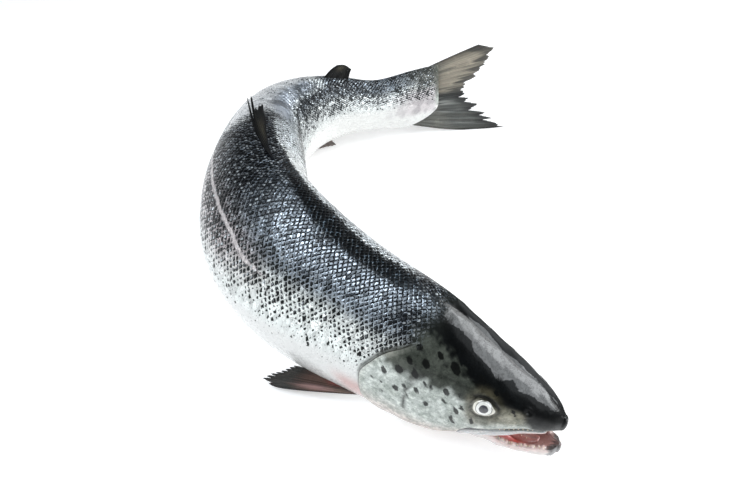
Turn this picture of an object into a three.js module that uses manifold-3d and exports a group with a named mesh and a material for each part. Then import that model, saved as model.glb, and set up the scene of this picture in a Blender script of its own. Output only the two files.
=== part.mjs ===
// A whole, ungutted Atlantic salmon that lies on its belly with its body curved into a crescent.
// Millimetres, +Z up, the table at z = 0. The head points to +X and a little to -Y, the tail to +X.
//
// The fish is first described straight: s is the distance from the snout as a share of the fork
// length, n the distance from the midline towards the fish's right side, z the height over the
// table. place() then bends that straight fish along the crescent.
import * as THREE from "three";
import { mergeVertices } from "three/addons/utils/BufferGeometryUtils.js";
import Module from "manifold-3d";

const wasm = await Module();
wasm.setup();

// Driving dimensions
const FORK_LENGTH = 750; // snout to the fork of the tail
const NOSE = 3.5; // how far the nose is rounded out in front of the first section
const CHIN = 2.5; // the same for the tip of the lower jaw
const BODY_END = 0.945; // where the scaled body ends between the rays of the tail fin
const GILL_LIFT = 3.2; // how far the gill cover stands over the shoulder
const GILL_RISE = 0.09; // how far in front of its edge the cover begins to rise
const GILL_ROUND = 0.008; // how far in front of its edge it has risen in full
const SLIT_LIP = 0.0032; // how far the gill slit reaches forward under the cover
const SLIT_SINK = 0.8; // how deep the slit is let into the shoulder
const EYE_LENGTH = 21;
const EYE_HEIGHT = 15;
const EYE_DEPTH = 9.5;
const EYE_BULGE = 2.4;
const EYE_PLACE = 0.0785;
const EYE_DEGREES = 73;
const TABLE_GAP = 2; // height of the tips of the fins that lie on the table
const RAY_RELIEF = 0.35; // share of a fin's thickness lost between two rays
const EDGE_SHARE = 0.4; // thickness of a fin at its edge as a share of that at its root

// Fineness
const RINGS_HEAD = 28; // rings from the snout to the edge of the gill cover
const RINGS_TRUNK = 43; // rings from the gill cover to the tail
const RING_POINTS = 38;
const CAP_RINGS = 3; // rings that round out the nose and the chin
const WELD = 1e-3; // points nearer than this are one

const RIGHT = 1;
const LEFT = -1;

const radians = THREE.MathUtils.degToRad;
const { lerp, clamp, smoothstep } = THREE.MathUtils;
const point = (s, n, z) => new THREE.Vector3(s, n, z);

// A smooth curve through [position, value] pairs that never swings past them.
function profile(pairs) {
  const x = pairs.map((pair) => pair[0]);
  const y = pairs.map((pair) => pair[1]);
  const last = x.length - 1;
  const rise = x.slice(1).map((xi, i) => (y[i + 1] - y[i]) / (xi - x[i]));
  const slope = x.map((_, i) => {
    if (i === 0) return rise[0];
    if (i === last) return rise[last - 1];
    const product = rise[i - 1] * rise[i];
    return product > 0 ? (2 * product) / (rise[i - 1] + rise[i]) : 0;
  });
  return (at) => {
    const t = clamp(at, x[0], x[last]);
    let i = 0;
    while (i < last - 1 && t > x[i + 1]) i += 1;
    const h = x[i + 1] - x[i];
    const u = (t - x[i]) / h;
    return (
      y[i] * (1 + 2 * u) * (1 - u) ** 2 +
      slope[i] * h * u * (1 - u) ** 2 +
      y[i + 1] * u * u * (3 - 2 * u) +
      slope[i + 1] * h * u * u * (u - 1)
    );
  };
}

// The crescent: heading in degrees, from snout towards tail, along the fish
const SNOUT = new THREE.Vector2(156.5, -233.5);
const heading = profile([
  [0, 152],
  [0.1, 149.5],
  [0.3, 142],
  [0.4, 123.5],
  [0.5, 97],
  [0.6, 84],
  [0.7, 51],
  [0.8, 19],
  [0.95, 9],
]);

// Side view of the straight fish, heights over the table as shares of the fork length. What lies
// under the table is pressed flat by the weight of the fish.
const back = profile([
  [0, 0.0925],
  [0.008, 0.101],
  [0.03, 0.118],
  [0.08, 0.1445],
  [0.16, 0.181],
  [0.25, 0.193],
  [0.38, 0.215],
  [0.5, 0.207],
  [0.65, 0.168],
  [0.78, 0.126],
  [0.85, 0.104],
  [0.9, 0.111],
  [0.945, 0.118],
]);
const belly = profile([
  [0, 0.07],
  [0.011, 0.0735],
  [0.034, 0.072],
  [0.055, 0.064],
  [0.076, 0.047],
  [0.093, 0.034],
  [0.13, 0.014],
  [0.17, 0.003],
  [0.24, -0.004],
  [0.3, -0.006],
  [0.54, -0.006],
  [0.65, 0.009],
  [0.75, 0.02],
  [0.8, 0.025],
  [0.875, 0.018],
  [0.945, 0.014],
]);
const halfWidth = profile([
  [0, 0.0065],
  [0.008, 0.015],
  [0.03, 0.0265],
  [0.08, 0.043],
  [0.16, 0.0565],
  [0.25, 0.0605],
  [0.38, 0.065],
  [0.5, 0.0705],
  [0.65, 0.053],
  [0.78, 0.029],
  [0.85, 0.0205],
  [0.945, 0.004],
]);

// Height of the widest line, from belly to back, and how square the two halves of a section are
const waist = profile([
  [0, 0.3],
  [0.05, 0.27],
  [0.0785, 0.385],
  [0.13, 0.36],
  [0.2, 0.44],
  [0.5, 0.42],
  [0.9, 0.5],
]);
const squareness = profile([
  [0, 2.6],
  [0.09, 3.6],
  [0.18, 2.2],
  [0.4, 2.5],
  [0.8, 2.1],
  [0.9, 2],
]);
const BACK_SQUARENESS = 2.05;

// How far a section leans over to the fish's right, in radians
const roll = profile([
  [0.05, -0.027],
  [0.45, -0.255],
  [0.9, 0.22],
]);

// Heading, x and y of the spine, summed in small steps
const SPINE_STEPS = 400;
const SPINE_END = 1.12;
const spine = [new THREE.Vector3(SNOUT.x, SNOUT.y, radians(heading(0)))];
for (let i = 1; i <= SPINE_STEPS; i += 1) {
  const before = spine[i - 1];
  const angle = radians(heading(((i - 0.5) / SPINE_STEPS) * SPINE_END));
  const step = (FORK_LENGTH * SPINE_END) / SPINE_STEPS;
  const here = radians(heading((i / SPINE_STEPS) * SPINE_END));
  spine.push(new THREE.Vector3(before.x + Math.cos(angle) * step, before.y + Math.sin(angle) * step, here));
}

// From the straight fish to its place on the table
function place(s, n, z) {
  const at = (s / SPINE_END) * SPINE_STEPS;
  const i = clamp(Math.floor(at), 0, SPINE_STEPS - 1);
  const here = spine[i].clone().lerp(spine[i + 1], at - i);
  return new THREE.Vector3(
    here.x - n * Math.sin(here.z),
    here.y + n * Math.cos(here.z),
    Math.max(z, 0),
  );
}

// Lower edge, upper edge and widest height of a section
function heights(s) {
  const bottom = belly(s) * FORK_LENGTH;
  const top = back(s) * FORK_LENGTH;
  return { bottom, top, middle: lerp(bottom, top, waist(s)), centre: (bottom + top) / 2 };
}

// A point [n, z] of the skin: phi runs from 0 at the back over 90 degrees at the right flank
function section(s, phi) {
  const { bottom, top, middle, centre } = heights(s);
  const power = 2 / (Math.cos(phi) > 0 ? BACK_SQUARENESS : squareness(s));
  const across = Math.sign(Math.sin(phi)) * Math.abs(Math.sin(phi)) ** power;
  const up = Math.sign(Math.cos(phi)) * Math.abs(Math.cos(phi)) ** power;
  const n = halfWidth(s) * FORK_LENGTH * across;
  const z = middle + (up > 0 ? top - middle : middle - bottom) * up;
  const turn = roll(s);
  return new THREE.Vector2(
    n * Math.cos(turn) + (z - centre) * Math.sin(turn),
    centre - n * Math.sin(turn) + (z - centre) * Math.cos(turn),
  );
}

// The skin lifted by out along its own normal
function skin(s, phi, out = 0) {
  const span = 0.02;
  const here = section(s, phi);
  const along = section(s, phi + span).sub(section(s, phi - span)).normalize();
  return place(s, here.x - along.y * out, here.y + along.x * out);
}

// Rear edge of the gill cover, as s over the angle from the back in degrees
const gillEdge = profile([
  [0, 0.14],
  [40, 0.15],
  [52, 0.165],
  [64, 0.184],
  [75, 0.197],
  [90, 0.21],
  [108, 0.208],
  [122, 0.199],
  [150, 0.165],
  [180, 0.12],
]);
const degreesFromBack = (phi) => THREE.MathUtils.radToDeg(Math.abs(phi));
const gillEdgeAt = (phi) => gillEdge(degreesFromBack(phi));

// 1 where the gill cover is free of the shoulder, 0 at the nape and under the throat
function gillOpening(phi) {
  const angle = degreesFromBack(phi);
  return smoothstep(angle, 42, 62) * (1 - smoothstep(angle, 150, 172));
}

// A solid from points and triangles, turned to face out
function solid(points, faces) {
  const geometry = new THREE.BufferGeometry().setFromPoints(points);
  geometry.setIndex(faces);
  const merged = mergeVertices(geometry, WELD);
  const vertProperties = merged.attributes.position.array;
  const make = (triVerts) => new wasm.Manifold(new wasm.Mesh({ numProp: 3, vertProperties, triVerts }));
  const order = new Uint32Array(merged.index.array);
  const made = make(order);
  return made.volume() > 0 ? made : make(order.reverse());
}

// A closed solid from rings of points, each ring closed on itself, with a point at either end
function loft(rings, first, last) {
  const points = [first, ...rings.flat(), last];
  const count = rings[0].length;
  const end = points.length - 1;
  const faces = [];
  const at = (ring, i) => 1 + ring * count + (i % count);
  for (let i = 0; i < count; i += 1) {
    faces.push(0, at(0, i + 1), at(0, i));
    faces.push(end, at(rings.length - 1, i), at(rings.length - 1, i + 1));
    for (let ring = 0; ring < rings.length - 1; ring += 1) {
      faces.push(at(ring, i), at(ring, i + 1), at(ring + 1, i + 1));
      faces.push(at(ring, i), at(ring + 1, i + 1), at(ring + 1, i));
    }
  }
  return solid(points, faces);
}

// Rings that close a ring with a quarter round, and the point at which they end
function roundedEnd(ring, reach) {
  const centre = ring.reduce((sum, p) => sum.add(p), new THREE.Vector3()).divideScalar(ring.length);
  const forward = place(-1, 0, 0).sub(place(0, 0, 0)).setLength(reach);
  const rings = Array.from({ length: CAP_RINGS }, (_, i) => {
    const turn = (((i + 1) / (CAP_RINGS + 1)) * Math.PI) / 2;
    const shrink = (p) => centre.clone().lerp(p, Math.sin(turn)).addScaledVector(forward, Math.cos(turn));
    return ring.map(shrink);
  });
  return { rings, tip: centre.clone().add(forward) };
}

// A closed slab: grid[row][column] is its middle sheet and half[row][column] half its thickness
function slab(grid, half) {
  const rows = grid.length;
  const columns = grid[0].length;
  const endRow = rows - 1;
  const endColumn = columns - 1;
  const points = [];
  for (const side of [1, -1]) {
    for (let r = 0; r < rows; r += 1) {
      for (let c = 0; c < columns; c += 1) {
        const down = grid[Math.min(r + 1, endRow)][c].clone().sub(grid[Math.max(r - 1, 0)][c]);
        const over = grid[r][Math.min(c + 1, endColumn)].clone().sub(grid[r][Math.max(c - 1, 0)]);
        const normal = over.cross(down).normalize();
        const corner = grid[r][c].clone().addScaledVector(normal, side * half[r][c]);
        corner.z = Math.max(corner.z, 0);
        points.push(corner);
      }
    }
  }
  const at = (side, r, c) => side * rows * columns + r * columns + c;
  const faces = [];
  const quad = (a, b, c, d) => faces.push(a, b, c, a, c, d);
  for (let r = 0; r < endRow; r += 1) {
    for (let c = 0; c < endColumn; c += 1) {
      quad(at(0, r, c), at(0, r, c + 1), at(0, r + 1, c + 1), at(0, r + 1, c));
      quad(at(1, r, c), at(1, r + 1, c), at(1, r + 1, c + 1), at(1, r, c + 1));
    }
    quad(at(0, r, 0), at(0, r + 1, 0), at(1, r + 1, 0), at(1, r, 0));
    quad(at(0, r + 1, endColumn), at(0, r, endColumn), at(1, r, endColumn), at(1, r + 1, endColumn));
  }
  for (let c = 0; c < endColumn; c += 1) {
    quad(at(0, 0, c + 1), at(0, 0, c), at(1, 0, c), at(1, 0, c + 1));
    quad(at(0, endRow, c), at(0, endRow, c + 1), at(1, endRow, c + 1), at(1, endRow, c));
  }
  return solid(points, faces);
}

// Body, head and upper jaw
function body() {
  const rings = [];
  const angles = Array.from({ length: RING_POINTS }, (_, i) => (i / RING_POINTS) * 2 * Math.PI - Math.PI);
  const ring = (sAt, outAt) => rings.push(angles.map((phi) => skin(sAt(phi), phi, outAt(phi))));
  const cover = (s, phi) => {
    const edge = gillEdgeAt(phi);
    return GILL_LIFT * gillOpening(phi) * smoothstep(s, edge - GILL_RISE, edge - GILL_ROUND);
  };
  for (let i = 0; i < RINGS_HEAD; i += 1) {
    const share = (i / RINGS_HEAD) ** 1.5;
    ring((phi) => gillEdgeAt(phi) * share, (phi) => cover(gillEdgeAt(phi) * share, phi));
  }
  ring(gillEdgeAt, (phi) => cover(gillEdgeAt(phi), phi));
  ring(
    (phi) => gillEdgeAt(phi) + SLIT_LIP * lerp(0.4, -1, gillOpening(phi)),
    (phi) => -SLIT_SINK * gillOpening(phi),
  );
  for (let i = 0; i <= RINGS_TRUNK; i += 1) {
    const share = i / RINGS_TRUNK;
    ring((phi) => lerp(gillEdgeAt(phi) + 2 * SLIT_LIP, BODY_END, share), () => 0);
  }
  const nose = roundedEnd(rings[0], NOSE);
  return loft([...nose.rings, ...rings], nose.tip, place(BODY_END, 0, heights(BODY_END).centre));
}

// Lower jaw: a shallow trough that hangs open and runs back into the throat; t runs along it
const JAW_TIP = -0.0025;
const JAW_ROOT = 0.17;
const jawRim = profile([
  [0, 0.037],
  [0.06, 0.0355],
  [0.24, 0.034],
  [0.34, 0.0405],
  [0.45, 0.057],
  [0.6, 0.066],
  [1, 0.066],
]);
const jawBottom = profile([
  [0, 0.0195],
  [0.025, 0.012],
  [0.13, 0.0075],
  [0.35, 0.0075],
  [0.48, 0.0055],
  [0.6, 0.0035],
  [0.77, 0.001],
  [1, 0],
]);
const jawHalfWidth = profile([
  [0, 0.004],
  [0.025, 0.0095],
  [0.12, 0.0165],
  [0.22, 0.0225],
  [0.37, 0.031],
  [0.48, 0.0365],
  [0.6, 0.041],
  [0.77, 0.0455],
  [1, 0.049],
]);
const JAW_RINGS = 18;
const JAW_OUTER = 14; // points around the outside of a ring
const JAW_INNER = 9; // and across its trough
const JAW_WALL = 4;
const JAW_DEPTH = 9;
const JAW_CROWN = 1.5; // how far the solid tip of the jaw bulges up
function jawAt(t) {
  const rim = jawRim(t) * FORK_LENGTH;
  const drop = rim - jawBottom(t) * FORK_LENGTH;
  const half = jawHalfWidth(t) * FORK_LENGTH;
  const depth = lerp(-JAW_CROWN, Math.min(JAW_DEPTH, drop - JAW_WALL), smoothstep(t, 0.02, 0.2));
  return { s: lerp(JAW_TIP, JAW_ROOT, t), rim, drop, half, depth };
}
function lowerJaw() {
  const rings = [];
  for (let i = 0; i <= JAW_RINGS; i += 1) {
    const { s, rim, drop, half, depth } = jawAt((i / JAW_RINGS) ** 1.4);
    const trough = half - Math.min(JAW_WALL, half / 2);
    const points = [];
    for (let k = 0; k <= JAW_OUTER; k += 1) {
      const angle = radians(90 + (180 * k) / JAW_OUTER);
      points.push(place(s, half * Math.sin(angle), rim + drop * Math.cos(angle)));
    }
    for (let k = 1; k < JAW_INNER; k += 1) {
      const angle = radians(270 - (180 * k) / JAW_INNER);
      points.push(place(s, trough * Math.sin(angle), rim + depth * Math.cos(angle)));
    }
    rings.push(points);
  }
  const chin = roundedEnd(rings[0], CHIN);
  const { s, rim, drop } = jawAt(1);
  return loft([...chin.rings, ...rings], chin.tip, place(s, 0, rim - drop / 2));
}

// Tongue: a low pad on the floor of the jaw
function tongue() {
  const rings = [];
  const count = 8;
  const pad = (t) => {
    const { s, rim, depth } = jawAt(lerp(0.12, 0.5, t));
    return { s, floor: rim - depth };
  };
  for (let i = 1; i < count; i += 1) {
    const t = i / count;
    const { s, floor } = pad(t);
    const full = Math.sqrt(Math.sin(Math.PI * Math.sqrt(t)));
    const around = Array.from({ length: 10 }, (_, k) => radians(36 * k));
    const wide = lerp(5, 11, t) * full;
    rings.push(around.map((angle) => place(s, wide * Math.cos(angle), floor + 4 * full * Math.sin(angle))));
  }
  const tip = pad(0);
  const root = pad(1);
  return loft(rings, place(tip.s, 0, tip.floor), place(root.s, 0, root.floor));
}

// Maxilla: the blade of bone along the upper lip, which ends behind the eye
const MAXILLA_TIP = 0.012;
const MAXILLA_END = 0.1;
const MAXILLA_HANG = 2.5; // how far the blade hangs under the lip
const MAXILLA_HALF = 1.4; // half its thickness
const MAXILLA_OUT = 0.6; // how far its middle lies outside the cheek
const maxillaBlade = profile([
  [0, 4],
  [0.2, 4],
  [0.75, 11],
  [0.9, 10],
  [1, 3],
]);
const lipLine = profile([
  [0, 0.07],
  [0.011, 0.0755],
  [0.034, 0.073],
  [0.05, 0.065],
  [0.075, 0.0545],
  [0.1, 0.047],
]);
function maxilla(side) {
  const rows = 13;
  const columns = 5;
  const lowest = 0.7; // of the way from the widest height to the lip
  const grid = [];
  for (let r = 0; r < rows; r += 1) {
    const t = r / (rows - 1);
    const s = lerp(MAXILLA_TIP, MAXILLA_END, t);
    const { bottom, middle } = heights(s);
    const power = squareness(s);
    const row = [];
    for (let c = 0; c < columns; c += 1) {
      const z = lipLine(s) * FORK_LENGTH - MAXILLA_HANG + (c / (columns - 1)) * (maxillaBlade(t) + 1);
      const low = clamp((middle - z) / (middle - bottom), 0, lowest);
      const n = halfWidth(s) * FORK_LENGTH * (1 - low ** power) ** (1 / power);
      row.push(place(s, side * (n + MAXILLA_OUT), z));
    }
    grid.push(row);
  }
  return slab(grid, grid.map((row) => row.map(() => MAXILLA_HALF)));
}

// An eye is a flattened ball let into the cheek, longer along the head than across it
function eye(side) {
  const angle = side * radians(EYE_DEGREES);
  const surface = skin(EYE_PLACE, angle);
  const normal = skin(EYE_PLACE, angle, 1).sub(surface).normalize();
  const along = skin(EYE_PLACE + 0.004, angle).sub(skin(EYE_PLACE - 0.004, angle));
  along.addScaledVector(normal, -along.dot(normal)).normalize();
  const across = new THREE.Vector3().crossVectors(along, normal);
  const ball = new THREE.SphereGeometry(0.5, 20, 10).scale(EYE_LENGTH, EYE_DEPTH, EYE_HEIGHT);
  ball.deleteAttribute("normal").deleteAttribute("uv");
  const sink = EYE_DEPTH / 2 - EYE_BULGE;
  ball.applyMatrix4(new THREE.Matrix4().makeBasis(along, normal, across));
  ball.translate(...surface.addScaledVector(normal, -sink).toArray());
  const { attributes, index } = mergeVertices(ball, WELD);
  const points = Array.from({ length: attributes.position.count }, (_, i) =>
    new THREE.Vector3().fromBufferAttribute(attributes.position, i),
  );
  return solid(points, [...index.array]);
}

// Numbers between 0 and 1 that are the same on each run
function seeded(seed) {
  const factor = 16807;
  const modulus = 2147483647;
  let state = seed;
  return () => {
    state = (state * factor) % modulus;
    return state / modulus;
  };
}

// A fin is a pleated slab. ray(t) gives the root, the tip and the bow, in the straight fish, of the
// ray at share t of the fin; the skin between two rays is thinner and its edge a notch further in.
function fin({ rays, rows, ray, thickness, notch, ragged, seed }) {
  const random = seeded(seed);
  const columns = 2 * rays - 1;
  const grid = Array.from({ length: rows }, () => []);
  const half = Array.from({ length: rows }, () => []);
  for (let c = 0; c < columns; c += 1) {
    const { root, tip, bow } = ray(c / (columns - 1));
    const between = c % 2 === 1;
    const reach = between ? 1 - notch : 1 - ragged * random();
    const full = thickness * (between ? 1 - RAY_RELIEF : 1);
    for (let r = 0; r < rows; r += 1) {
      const share = r / (rows - 1);
      const at = root.clone().lerp(tip, share * reach);
      at.addScaledVector(bow, Math.sin(Math.PI * share * reach));
      grid[r].push(place(at.x, at.y, at.z));
      half[r].push((full * lerp(1, EDGE_SHARE, share)) / 2);
    }
  }
  return slab(grid, half);
}

const STRAIGHT = point(0, 0, 0); // the bow of a ray without one

// A point of the sheet that halves the fish lengthways, up from the middle of the section
function onSheet(s, up) {
  const height = heights(s).centre + up * Math.cos(roll(s));
  return point(s, up * Math.sin(roll(s)), Math.max(height, TABLE_GAP));
}

// The tail fin stands up from the table, on which its lower lobe rests
const tailReach = profile([
  [-1, 1.06],
  [-0.6, 1.028],
  [-0.3, 1.008],
  [0, 0.992],
  [0.4, 1.014],
  [0.7, 1.03],
  [0.88, 1.04],
  [1, 1.018],
]);
const tailHeight = profile([
  [-1, -56],
  [-0.6, -35],
  [-0.3, -14],
  [0, -2],
  [0.4, 14],
  [0.7, 34],
  [0.88, 51],
  [1, 61],
]);
const TAIL_BOW = 2;
const TAIL_SAG = 8; // how far the lowest rays bow down to the table
function tailFin() {
  return fin({
    rays: 17,
    rows: 7,
    thickness: 4,
    notch: 0.1,
    ragged: 0.1,
    seed: 17,
    ray: (t) => {
      const u = 2 * t - 1;
      return {
        root: onSheet(lerp(0.9, 0.88, t), lerp(-33, 24, t)),
        tip: onSheet(tailReach(u), tailHeight(u)),
        bow: point(0, TAIL_BOW, -TAIL_SAG * smoothstep(-u, 0.4, 1)),
      };
    },
  });
}

// The dorsal fin is folded back and leans to the right
const DORSAL_FROM = 0.425;
const DORSAL_TO = 0.54;
function dorsalFin() {
  return fin({
    rays: 9,
    rows: 6,
    thickness: 3.2,
    notch: 0.12,
    ragged: 0.22,
    seed: 5,
    ray: (t) => {
      const s = lerp(DORSAL_FROM, DORSAL_TO, t);
      const ridge = section(s, 0);
      const length = lerp(78, 28, t);
      const rise = radians(lerp(20, 30, t));
      return {
        root: point(s, ridge.x, ridge.y - 4),
        tip: point(
          s + (length * Math.cos(rise)) / FORK_LENGTH,
          ridge.x + lerp(17, 3, t),
          ridge.y + length * Math.sin(rise),
        ),
        bow: point(0, 2, 0),
      };
    },
  });
}

// The adipose fin is a small fleshy lobe
const adiposeHeight = profile([
  [0, 11],
  [0.5, 13.5],
  [1, 11.5],
]);
function adiposeFin() {
  return fin({
    rays: 4,
    rows: 5,
    thickness: 5,
    notch: 0,
    ragged: 0,
    seed: 3,
    ray: (t) => {
      const s = lerp(0.76, 0.8, t);
      const ridge = section(s, 0);
      return {
        root: point(s, ridge.x, ridge.y - 3),
        tip: point(lerp(0.784, 0.806, t), ridge.x, ridge.y + adiposeHeight(t)),
        bow: point(0, 0, 2),
      };
    },
  });
}

// A point just inside the skin, for the root of a fin
function inside(s, degrees, side, depth) {
  const here = section(s, side * radians(degrees));
  return point(s, here.x - side * depth, here.y + depth);
}

// The pectoral fins lie spread on the table, out and back from behind the gill cover
const pectoralLength = profile([
  [0, 96],
  [0.15, 98],
  [0.3, 92],
  [0.6, 76],
  [1, 58],
]);
const pectoralSweep = profile([
  [0, 25],
  [0.3, 19],
  [0.6, 13],
  [1, 2],
]);
function pectoralFin(side) {
  return fin({
    rays: 11,
    rows: 6,
    thickness: 3.4,
    notch: 0.07,
    ragged: 0.05,
    seed: 11,
    ray: (t) => {
      const length = pectoralLength(t);
      const sweep = radians(pectoralSweep(t));
      const root = inside(lerp(0.2, 0.232, t), lerp(138, 122, t), side, 5);
      const out = side * length * Math.sin(sweep);
      const tip = point(root.x + (length * Math.cos(sweep)) / FORK_LENGTH, root.y + out, lerp(4, 8, t));
      return { root, tip, bow: STRAIGHT };
    },
  });
}

// The pelvic fins are tucked under the flanks
function pelvicFin(side) {
  return fin({
    rays: 7,
    rows: 5,
    thickness: 3,
    notch: 0.06,
    ragged: 0.05,
    seed: 7,
    ray: (t) => ({
      root: inside(lerp(0.505, 0.525, t), lerp(146, 160, t), side, 4),
      tip: point(lerp(0.585, 0.56, t), side * lerp(40, 14, t), TABLE_GAP),
      bow: STRAIGHT,
    }),
  });
}

// The anal fin is pressed back flat on the table
function analFin() {
  return fin({
    rays: 8,
    rows: 5,
    thickness: 3,
    notch: 0.08,
    ragged: 0.08,
    seed: 13,
    ray: (t) => {
      const s = lerp(0.69, 0.755, t);
      return {
        root: point(s, 3, belly(s) * FORK_LENGTH + 7),
        tip: point(s + lerp(0.038, 0.02, t), lerp(1, -5, t), TABLE_GAP),
        bow: STRAIGHT,
      };
    },
  });
}

const pieces = [
  body(),
  lowerJaw(),
  tongue(),
  ...[RIGHT, LEFT].flatMap((side) => [maxilla(side), eye(side), pectoralFin(side), pelvicFin(side)]),
  tailFin(),
  dorsalFin(),
  adiposeFin(),
  analFin(),
];
const whole = pieces.reduce((sum, piece) => sum.add(piece));

// The joined solid as a three.js geometry
function geometryOf(manifold) {
  const { numProp, vertProperties, triVerts } = manifold.getMesh();
  const positions = new Float32Array((vertProperties.length / numProp) * 3);
  for (let i = 0; i < positions.length; i += 1) {
    positions[i] = vertProperties[Math.floor(i / 3) * numProp + (i % 3)];
  }
  const geometry = new THREE.BufferGeometry();
  geometry.setAttribute("position", new THREE.BufferAttribute(positions, 3));
  geometry.setIndex(new THREE.BufferAttribute(new Uint32Array(triVerts), 1));
  geometry.computeVertexNormals();
  return geometry;
}

const salmon = new THREE.Mesh(
  geometryOf(whole),
  new THREE.MeshStandardMaterial({ color: 0x8a949c, roughness: 0.25, metalness: 0.1 }),
);
salmon.name = "salmon";

const group = new THREE.Group();
group.add(salmon);
export default group;
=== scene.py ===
# A whole raw Atlantic salmon on a pale table: scaled skin, smooth head, open mouth, rayed fins.
#
# Like the CAD part, the fish is first described straight: s is the distance from the snout as a
# share of the fork length, n the distance to the fish's right and z the height, in millimetres.
# An angle runs from 0 at the back over 90 degrees at the right flank to 180 at the belly.
import bpy
import numpy as np
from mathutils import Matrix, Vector
from numpy import (array, arange, clip, concatenate, cos, hypot, interp, linspace, maximum, minimum, pi,
                   radians, sin, sqrt, stack)


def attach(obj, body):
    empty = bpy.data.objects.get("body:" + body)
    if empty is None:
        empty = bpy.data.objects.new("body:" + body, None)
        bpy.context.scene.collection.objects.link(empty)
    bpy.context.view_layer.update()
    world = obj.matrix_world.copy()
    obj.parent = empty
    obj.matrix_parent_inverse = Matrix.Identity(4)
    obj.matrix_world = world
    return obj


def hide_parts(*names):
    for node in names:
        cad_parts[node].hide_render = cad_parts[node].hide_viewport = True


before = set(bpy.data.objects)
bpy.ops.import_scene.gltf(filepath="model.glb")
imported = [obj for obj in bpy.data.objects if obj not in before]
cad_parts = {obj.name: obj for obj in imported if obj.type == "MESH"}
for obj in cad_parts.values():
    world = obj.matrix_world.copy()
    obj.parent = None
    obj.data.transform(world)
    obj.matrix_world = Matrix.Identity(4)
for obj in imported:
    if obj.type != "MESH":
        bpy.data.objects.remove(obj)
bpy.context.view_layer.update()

MM = 0.001
FORK = 750.0
SNOUT = (156.5, -233.5)
RIGHT, LEFT = 1, -1
NAME = {RIGHT: "right", LEFT: "left"}


# Numbers

def profile(values):
    """A smooth curve through values, a dictionary of place and value, that never swings past them."""
    x, y = array(list(values.items()), float).T
    rise = np.diff(y) / np.diff(x)
    slope = concatenate([[rise[0]], np.zeros(len(x) - 2), [rise[-1]]])
    for i in range(1, len(x) - 1):
        product = rise[i - 1] * rise[i]
        if product > 0:
            slope[i] = 2 * product / (rise[i - 1] + rise[i])

    def curve(at):
        t = clip(at, x[0], x[-1])
        i = clip(np.searchsorted(x, t, side="right") - 1, 0, len(x) - 2)
        h = x[i + 1] - x[i]
        u = (t - x[i]) / h
        return (y[i] * (1 + 2 * u) * (1 - u) ** 2 + slope[i] * h * u * (1 - u) ** 2
                + y[i + 1] * u * u * (3 - 2 * u) + slope[i + 1] * h * u * u * (u - 1))
    return curve


def lerp(a, b, t):
    return a + (b - a) * t


def smooth(x, low, high):
    """Rises smoothly from 0 at low to 1 at high, or falls where low is the larger."""
    t = clip((np.asarray(x, float) - low) / (high - low), 0, 1)
    return t * t * (3 - 2 * t)


def span(x, start, full, fading, end):
    """Rises from 0 at start to 1 at full, and falls back to 0 between fading and end."""
    return smooth(x, start, full) * smooth(x, end, fading)


def bump(x, centre, width):
    return np.exp(-((x - centre) / width) ** 2)


def wrap(angle):
    return (angle + pi) % (2 * pi) - pi


def tint(r, g, b):
    """A colour as it looks on screen, in the linear values that Blender works in."""
    c = array([r, g, b], float)
    return np.where(c <= 0.04045, c / 12.92, ((c + 0.055) / 1.055) ** 2.4)


def layered(base, *coats):
    """A colour with coats over it in turn, each a colour and its share. Tuples go through tint."""
    colour = tint(*base) if isinstance(base, tuple) else base
    for coat, share in coats:
        coat = tint(*coat) if isinstance(coat, tuple) else coat
        colour = colour + (coat - colour) * np.asarray(share)[..., None]
    return colour


def waves(x, y, seed, count=24):
    """Soft irregular waves of x and y, about -1 to 1."""
    r = np.random.default_rng(seed)
    total = 0
    for _ in range(count):
        kx, ky = r.normal(0, 1, 2)
        total = total + sin(kx * x + ky * y + r.uniform(0, 6.283))
    return total * (1.4 / count) ** 0.5


# The fish's form, as in the CAD part

heading = profile({0: 152, .1: 149.5, .3: 142, .4: 123.5, .5: 97, .6: 84, .7: 51, .8: 19, .95: 9})
back = profile({0: .0925, .008: .101, .03: .118, .08: .1445, .16: .181, .25: .193, .38: .215, .5: .207,
                .65: .168, .78: .126, .85: .104, .9: .111, .945: .118})
belly = profile({0: .07, .011: .0735, .034: .072, .055: .064, .076: .047, .093: .034, .13: .014, .17: .003,
                 .24: -.004, .3: -.006, .54: -.006, .65: .009, .75: .02, .8: .025, .875: .018, .945: .014})
half_width = profile({0: .0065, .008: .015, .03: .0265, .08: .043, .16: .0565, .25: .0605, .38: .065,
                      .5: .0705, .65: .053, .78: .029, .85: .0205, .945: .004})
waist = profile({0: .3, .05: .27, .0785: .385, .13: .36, .2: .44, .5: .42, .9: .5})
squareness = profile({0: 2.6, .09: 3.6, .18: 2.2, .4: 2.5, .8: 2.1, .9: 2})
roll = profile({.05: -.027, .45: -.255, .9: .22})
gill_edge = profile({0: .14, 40: .15, 52: .165, 64: .184, 75: .197, 90: .21, 108: .208, 122: .199, 150: .165,
                     180: .12})
BACK_SQUARENESS = 2.05
GILL_LIFT = 3.2
BODY_END = .945

SPINE_STEPS, SPINE_END = 400, 1.12
_mid = radians(heading((arange(1, SPINE_STEPS + 1) - .5) / SPINE_STEPS * SPINE_END))
_step = FORK * SPINE_END / SPINE_STEPS
spine_x = SNOUT[0] + concatenate([[0], np.cumsum(cos(_mid) * _step)])
spine_y = SNOUT[1] + concatenate([[0], np.cumsum(sin(_mid) * _step)])
spine_turn = radians(heading(arange(SPINE_STEPS + 1) / SPINE_STEPS * SPINE_END))


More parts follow.
